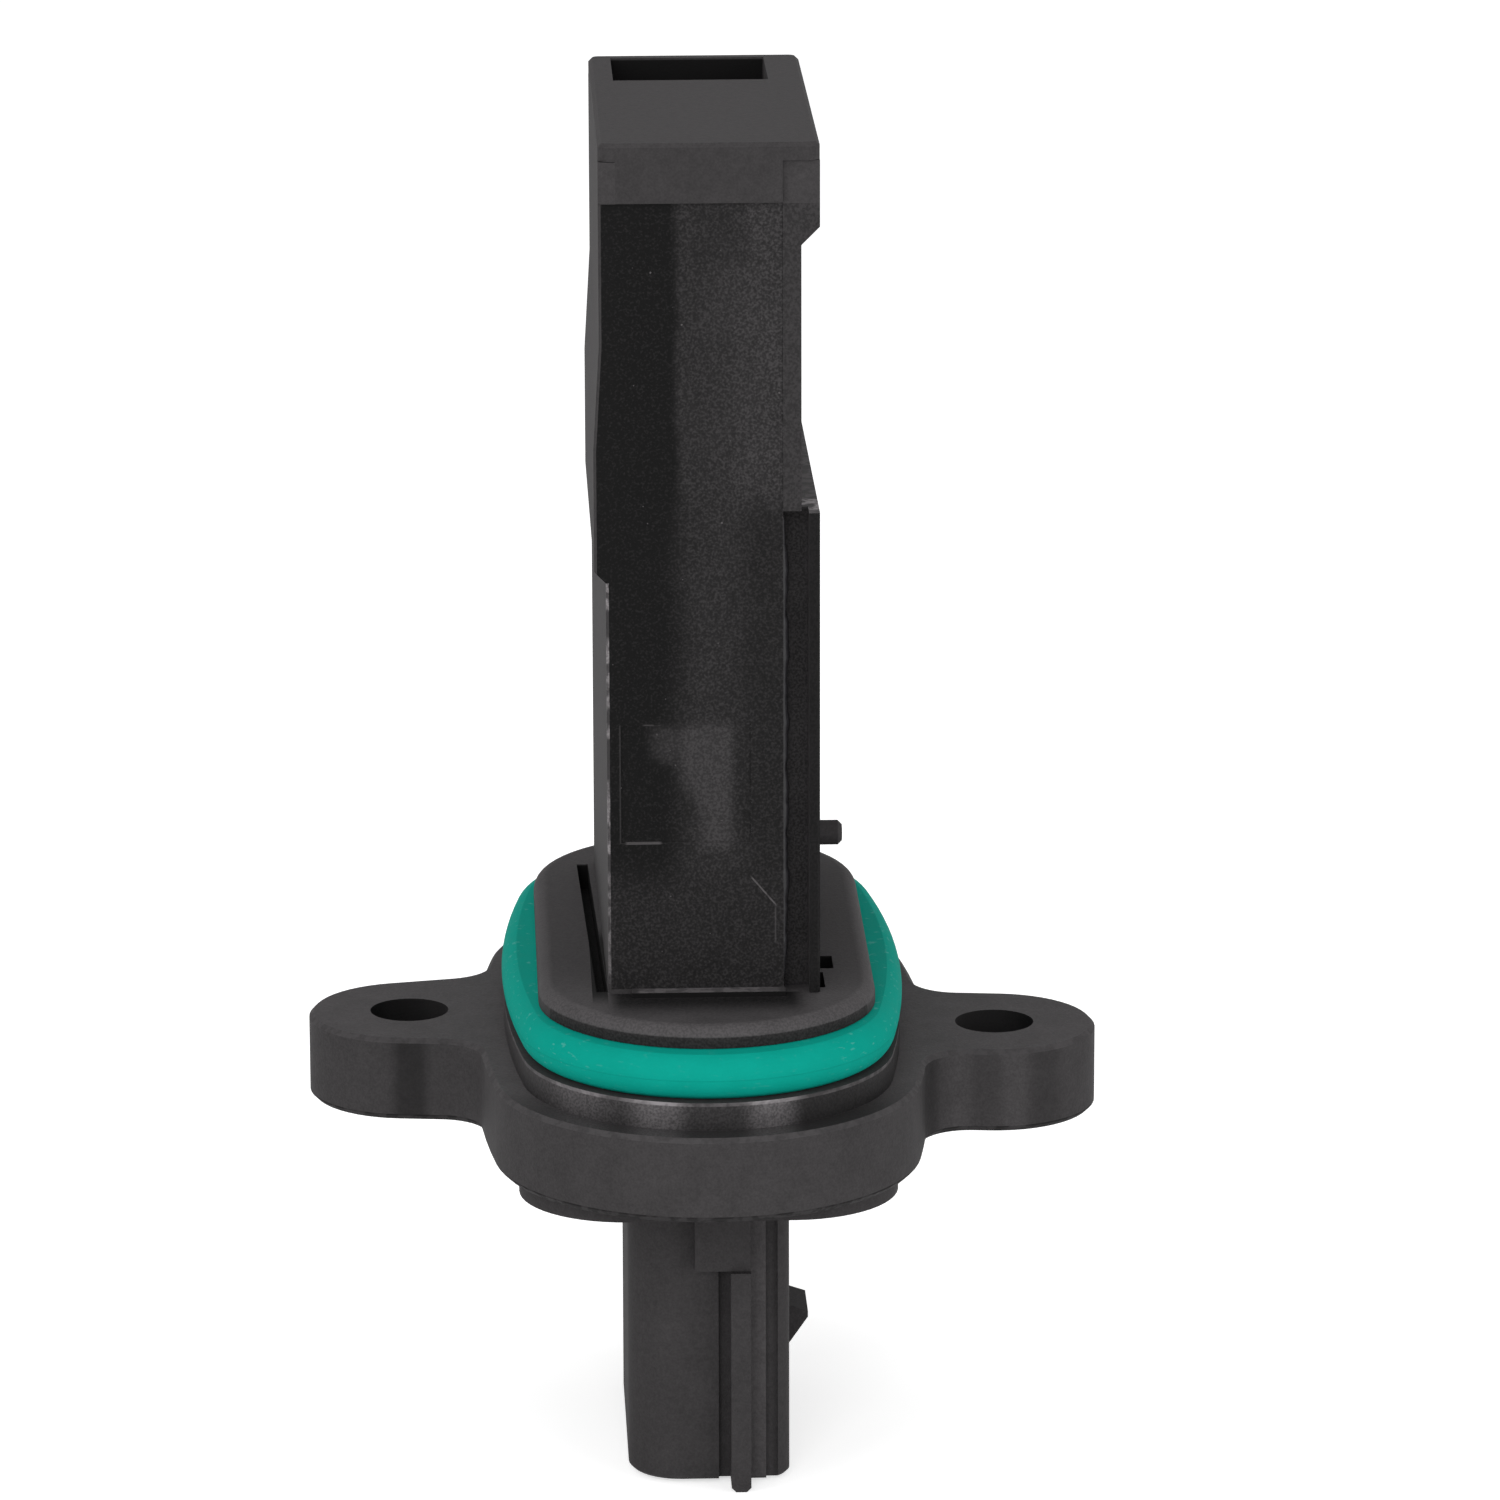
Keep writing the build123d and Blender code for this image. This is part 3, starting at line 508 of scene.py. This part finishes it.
# Circuit cover: a shallow moulded tray with a peg, pressed onto its bead of sealant. Its front
# edge is smooth like the front of the probe beside it, its rim painted paler and its plate edge
# darker as painted light and shade, and its top end and corner carry a painted highlight.
lid = BlackMoulding("circuit_cover_plastic")
lid_plate_back = 7.49
lid_top = box_in_mm("circuit_cover")[1].z
lid_front = (lid.facing_y < -0.5) * (lid.y < -15.0)
lid_front_painted_tone = lid.change(lid.x > lid_plate_back, 0.022, 0.0055)
lid.lay_tone(lid_front, lid_front_painted_tone * (0.20 + 0.80 * lid.mottle + 0.80 * lid.sparkle), 0.74)
lid_end = lid.z > lid_top - 0.8
lid.lay_tone(0.8 * (lid.facing_z > 0.8) * lid_end, 0.075 * (0.7 + 0.6 * lid.patchiness), 0.66)
lid_corner_highlight = (lid.facing_z > 0.5) * lid_end * lid.within(lid.y, -17.0, -14.0, 0.4)
lid.lay_tone(lid_corner_highlight * lid.patchiness, 0.26, 0.60)
lid.finish_moulding()
lid.put_on("circuit_cover")


# Sealant: the dark bead under the circuit cover. Pressing the cover on has squeezed a thin
# uneven line of it out along each long side of the cover's rim.
def finish_mesh(name, shape):
    """Turns a bmesh into a smooth piece of the sensor."""
    bmesh.ops.recalc_face_normals(shape, faces=shape.faces)
    mesh = bpy.data.meshes.new(name)
    shape.to_mesh(mesh)
    shape.free()
    for face in mesh.polygons:
        face.use_smooth = True
    made = bpy.data.objects.new(name, mesh)
    bpy.context.scene.collection.objects.link(made)
    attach(made, "root")
    return made


def add_tube(shape, run, sides=8):
    """Adds one closed tube to shape. The run is a list of (centre, radius) in metres."""
    turn = 2 * math.pi / sides
    rings = []
    for number, (centre, radius) in enumerate(run):
        before = run[max(number - 1, 0)][0]
        after = run[min(number + 1, len(run) - 1)][0]
        along = (Vector(after) - Vector(before)).normalized()
        across = radius * along.orthogonal().normalized()
        second = along.cross(across)
        rings.append([
            shape.verts.new(Vector(centre) + math.cos(turn * i) * across + math.sin(turn * i) * second)
            for i in range(sides)])
    for low, high in zip(rings, rings[1:]):
        for i in range(sides):
            shape.faces.new((low[i], low[(i + 1) % sides], high[(i + 1) % sides], high[i]))
    shape.faces.new(list(reversed(rings[0])))
    shape.faces.new(rings[-1])


sealant = Surface("adhesive")
lumps = sealant.cloud(1.2, 2)
sealant.dress(sealant.mix(lumps, (0.016, 0.015, 0.017, 1), (0.035, 0.034, 0.038, 1)),
              0.35 + 0.2 * lumps, lumps, 0.1)
sealant.put_on("cover_adhesive")
lid_low, lid_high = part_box("circuit_cover")
cover_key = 0.001
frame_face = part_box("right_bypass_cover")[0].x + cover_key
line_proud = 0.00008
line_inset = 0.0006
line_length = lid_high.z - lid_low.z - 2 * line_inset
line_steps = 90
front_line = (lid_low.y + 0.0020, 0.00034)
back_line = (lid_high.y - 0.00028, 0.00022)
squeeze_shape = bmesh.new()
for line_y, thickness in (front_line, back_line):
    run = []
    for i in range(line_steps + 1):
        share = i / line_steps
        swell = (1 + 0.22 * math.sin(37 * share) + 0.14 * math.sin(91 * share + 1)
                 + 0.08 * math.sin(173 * share))
        taper = min(1.0, 0.25 + 6 * min(share, 1 - share))
        centre = (frame_face + line_proud, line_y, lid_low.z + line_inset + share * line_length)
        run.append((centre, thickness * swell * taper))
    add_tube(squeeze_shape, run)
squeeze_out = finish_mesh("sealant_squeeze_out", squeeze_shape)
squeeze_out.data.materials.append(sealant.material)

# Seal ring: soft green rubber, moulded in two halves that leave a fine line around its outer
# edge, and stretched into the groove of the collar. It is dull, with a light bloom and pale grey
# streaks that grow towards its two ends.
rubber = Surface("seal_rubber")
rubber.feed(rubber.shader.inputs["Specular IOR Level"], 0.03)
seal_low, seal_high = box_in_mm("seal_ring")
mould_line = rubber.line(rubber.z - (seal_low.z + seal_high.z) / 2, 0.05)
bloom = rubber.cloud(0.5, 3)
pores = rubber.cloud(6.0, 2)
pale_streaks = rubber.rise(rubber.cloud(2.6, 4, (0.5, 0.5, 1.5)), 0.60, 0.74)
toward_ends = 0.12 + 0.38 * rubber.rise(abs(rubber.x), 7.0, 12.0)
green = rubber.mix(bloom * 0.7 + pores * 0.3, (0.0010, 0.245, 0.190, 1), (0.0030, 0.300, 0.238, 1))
green = rubber.mix(0.25 * mould_line, green, (0.001, 0.20, 0.16, 1))
green = rubber.mix(toward_ends * pale_streaks, green, (0.10, 0.36, 0.32, 1))
rubber.dress(green, 0.72 + 0.16 * (bloom - 0.5), pores * 0.5 + bloom * 0.3 + mould_line * 0.5, 0.03)
rubber.put_on("seal_ring")

# Terminals: blades stamped from bronze strip, with a dull tin plating that shows the draw marks
# of the strip. Each is pressed through its slot in the housing.
tin = Surface("terminal_metal")
tin_cloud = tin.cloud(1.5, 3)
draw_marks = tin.cloud(1.0, 2, (12, 12, 0.4))
tin.dress(tin.mix(tin_cloud, (0.46, 0.44, 0.40, 1), (0.62, 0.60, 0.56, 1)),
          0.28 + 0.2 * draw_marks, draw_marks, 0.01, 1.0)
terminal_names = [f"terminal_{number}" for number in range(1, 6)]
tin.put_on(*terminal_names)


# Solder joints: a small tin fillet where each terminal tab and each thermistor leg meets the
# circuit board, wetted up against the metal and thin at its rim.
def add_fillet(shape, foot, half_width, half_height, rise, levels=5, spokes=14):
    """Adds one fillet to shape: foot is its middle on the board, and rise points along +X."""
    turn = 2 * math.pi / spokes
    below = None
    for level in range(levels):
        spread = 1 - level / (levels - 1)
        height = rise * (1 - spread ** 0.6) if level else -0.2 * rise
        wide = half_width * (0.25 + 0.75 * spread)
        high = half_height * (0.25 + 0.75 * spread)
        ring = [
            shape.verts.new(foot + Vector((height, wide * math.cos(turn * i), high * math.sin(turn * i))))
            for i in range(spokes)]
        if below:
            for i in range(spokes):
                shape.faces.new((below[i], below[(i + 1) % spokes], ring[(i + 1) % spokes], ring[i]))
        else:
            shape.faces.new(list(reversed(ring)))
        below = ring
    shape.faces.new(below)


solder_shape = bmesh.new()
board_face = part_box("circuit_board")[1].x
joint_inset = 0.0011
tab_joint = (0.0009, 0.0014, 0.0006)
leg_joint = (0.0007, 0.0011, 0.0005)
leg_half_width = 0.0003
for name in terminal_names:
    tab_low, tab_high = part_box(name)
    tab_y = (tab_low.y + tab_high.y) / 2
    add_fillet(solder_shape, Vector((board_face, tab_y, tab_high.z - joint_inset)), *tab_joint)
first_leg, second_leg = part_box("thermistor_lead_1"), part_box("thermistor_lead_2")
leg_feet = (
    (first_leg[0].y + leg_half_width, first_leg[0].z + joint_inset),
    (second_leg[1].y - leg_half_width, second_leg[0].z + joint_inset),
)
for leg_y, leg_z in leg_feet:
    add_fillet(solder_shape, Vector((board_face, leg_y, leg_z)), *leg_joint)
solder_joints = finish_mesh("solder_joints", solder_shape)
solder = Surface("solder")
solder_cloud = solder.cloud(5.0, 3)
solder.dress(solder.mix(solder_cloud, (0.50, 0.50, 0.50, 1), (0.68, 0.68, 0.67, 1)),
             0.22 + 0.25 * solder_cloud, solder_cloud, 0.02, 1.0)
solder_joints.data.materials.append(solder.material)

# Terminal carrier: a plain black moulding at the foot of the circuit chamber. It is slipped over
# the five tabs and keeps them at their spacing.
carrier = BlackMoulding("carrier_plastic", 0.03, 0.7)
carrier.finish_moulding()
carrier.put_on("terminal_carrier")

# Base plate: stamped aluminium with the rolled grain of the sheet along its length. It lies on
# the two rails of the chamber and carries the heat of the board.
plate = Surface("base_metal")
rolled = plate.cloud(1.0, 3, (8, 8, 0.3))
plate.dress(plate.mix(rolled, (0.52, 0.52, 0.54, 1), (0.66, 0.66, 0.68, 1)),
            0.32 + 0.2 * rolled, rolled, 0.01, 1.0)
plate.put_on("base_plate")

# Circuit board: glass-epoxy under a green lacquer, glued to the base plate. The copper tracks
# show through the lacquer as paler raised bands, and bare tinned pads reach under the ribbons.
board = Surface("board")
weave = board.cloud(2.0, 2)
wander = board.cloud(0.18, 1)
track_wave = board.node("TexWave", {"bands_direction": "Y"},
                        {"Vector": board.place, "Scale": 0.35, "Distortion": 6.0, "Detail": 0.0}, output=1)
tracks = board.rise(track_wave, 0.62, 0.70) * board.rise(wander, 0.42, 0.50)
ribbons_low, ribbons_high = box_in_mm("bond_wires")
pads = (
    board.within(board.y, ribbons_low.y - 0.2, ribbons_high.y + 0.2)
    * board.within(board.z, ribbons_low.z - 1.4, ribbons_low.z + 0.6)
)
lacquer = board.mix(weave, (0.015, 0.10, 0.04, 1), (0.03, 0.15, 0.06, 1))
lacquer = board.mix(tracks, lacquer, (0.04, 0.24, 0.09, 1))
board.dress(board.mix(pads, lacquer, (0.60, 0.58, 0.52, 1)), 0.35 + 0.1 * weave,
            weave * 0.2 + tracks * 0.6 + pads * 0.6, 0.03, 0.9 * pads)
board.put_on("circuit_board")

# Sensing tongue: a strip of fired ceramic, soldered to the board at its foot. It reaches through
# the divider into the air passage, with two printed conductors up to the chip.
ceramic = Surface("tongue_ceramic")
fired = ceramic.cloud(4.0, 3)
tongue_low, tongue_high = box_in_mm("sensing_tongue")
tongue_middle = (tongue_low.y + tongue_high.y) / 2
conductor_spacing = 3.2
conductors = (
    ceramic.line(abs(ceramic.y - tongue_middle) - conductor_spacing / 2, 0.25)
    * ceramic.within(ceramic.z, tongue_low.z + 1.0, tongue_high.z - 5.0) * (ceramic.facing_x > 0.9)
)
ceramic_shade = ceramic.mix(fired, (0.62, 0.60, 0.55, 1), (0.76, 0.74, 0.69, 1))
ceramic.dress(ceramic.mix(conductors, ceramic_shade, (0.45, 0.43, 0.40, 1)),
              0.5 + 0.2 * fired - 0.2 * conductors, fired * 0.5 + conductors * 0.5, 0.02)
ceramic.put_on("sensing_tongue")

# Flow chip: a silicon die, blue-grey and polished flat. It is glued near the end of the tongue,
# where the air passes it.
die = Surface("chip_glass")
polish = die.cloud(3.0, 2)
die.dress((0.03, 0.035, 0.07, 1), 0.15 + 0.1 * polish)
die.put_on("flow_chip")

# Control chip: a black moulded package, soldered to the board, with a round dimple in the corner
# of its first pin.
package = BlackMoulding("chip_plastic", 0.02, 0.6)
chip_low, chip_high = box_in_mm("control_chip")
chip_middle = (chip_low + chip_high) / 2
dimple_inset = 1.1
dimple_y = package.y - (chip_low.y + dimple_inset)
dimple_z = package.z - (chip_high.z - dimple_inset)
dimple = 1 - package.rise(dimple_y * dimple_y + dimple_z * dimple_z, 0.10, 0.20)
package.height = package.height - 2.0 * dimple
package.finish_moulding(0.02)
package.put_on("control_chip")

# Chip capacitors: tan ceramic blocks with silvery end caps, soldered in a row below the control
# chip and one on each side of it.
tan = Surface("capacitor_body")
cap_metal = (0.58, 0.57, 0.54, 1)
cap_length = 0.35
capacitor_length = 2.0
side_distance = 7.0
from_row = abs(tan.z - (box_in_mm("capacitors")[0].z + capacitor_length / 2))
from_side = abs(abs(tan.y - chip_middle.y) - side_distance)
bare_length = capacitor_length / 2 - cap_length
caps = (
    (from_row > bare_length) * (tan.z < chip_low.z)
    | (from_side > bare_length) * (tan.z > chip_low.z)
)
fired_tan = tan.cloud(3.0, 2)
tan_shade = tan.mix(fired_tan, (0.30, 0.18, 0.08, 1), (0.42, 0.27, 0.13, 1))
tan.dress(tan.mix(caps, tan_shade, cap_metal), 0.4 + 0.1 * fired_tan - 0.1 * caps,
          0.7 * fired_tan + 0.3 * caps, 0.02, caps)
tan.put_on("capacitors")

# Chip resistors: small blocks in two rows above the control chip, with silvery ends. The black
# glaze over the resistive film is smooth and slightly wavy.
glaze = Surface("resistor_body")
end_length = 0.28
resistor_length = 1.6
resistors_low, resistors_high = box_in_mm("resistors")
rows_middle = (resistors_low.z + resistors_high.z) / 2
row_distance = (resistors_high.z - resistors_low.z - resistor_length) / 2
ends = abs(abs(glaze.z - rows_middle) - row_distance) > resistor_length / 2 - end_length
waves = glaze.cloud(4.0, 2)
glaze_shade = glaze.mix(waves, (0.01, 0.01, 0.012, 1), (0.03, 0.03, 0.035, 1))
glaze.dress(glaze.mix(ends, glaze_shade, cap_metal), 0.25 + 0.1 * waves, 0.7 * waves + 0.3 * ends, 0.02, ends)
glaze.put_on("resistors")

# Bond ribbons and thermistor legs: bright plated strip, the ribbons welded from board to tongue
# and the legs stamped and bent towards the bead.
strip = Surface("lead_metal")
strip_cloud = strip.cloud(3.0, 2)
strip.dress(strip.mix(strip_cloud, (0.55, 0.52, 0.44, 1), (0.70, 0.67, 0.58, 1)),
            0.25 + 0.15 * strip_cloud, strip_cloud, 0.01, 1.0)
strip.put_on("bond_wires", "thermistor_lead_1", "thermistor_lead_2")

# Thermistor bead: dark red-brown glass melted over the sensing pill. It hangs between the two
# legs behind the outlet window, in the stream of air.
glass = Surface("bead_glass")
glass_cloud = glass.cloud(2.0, 2)
glass.dress(glass.mix(glass_cloud, (0.10, 0.03, 0.012, 1), (0.20, 0.07, 0.03, 1)),
            0.12 + 0.1 * glass_cloud, glass_cloud, 0.02)
glass.put_on("thermistor_bead")
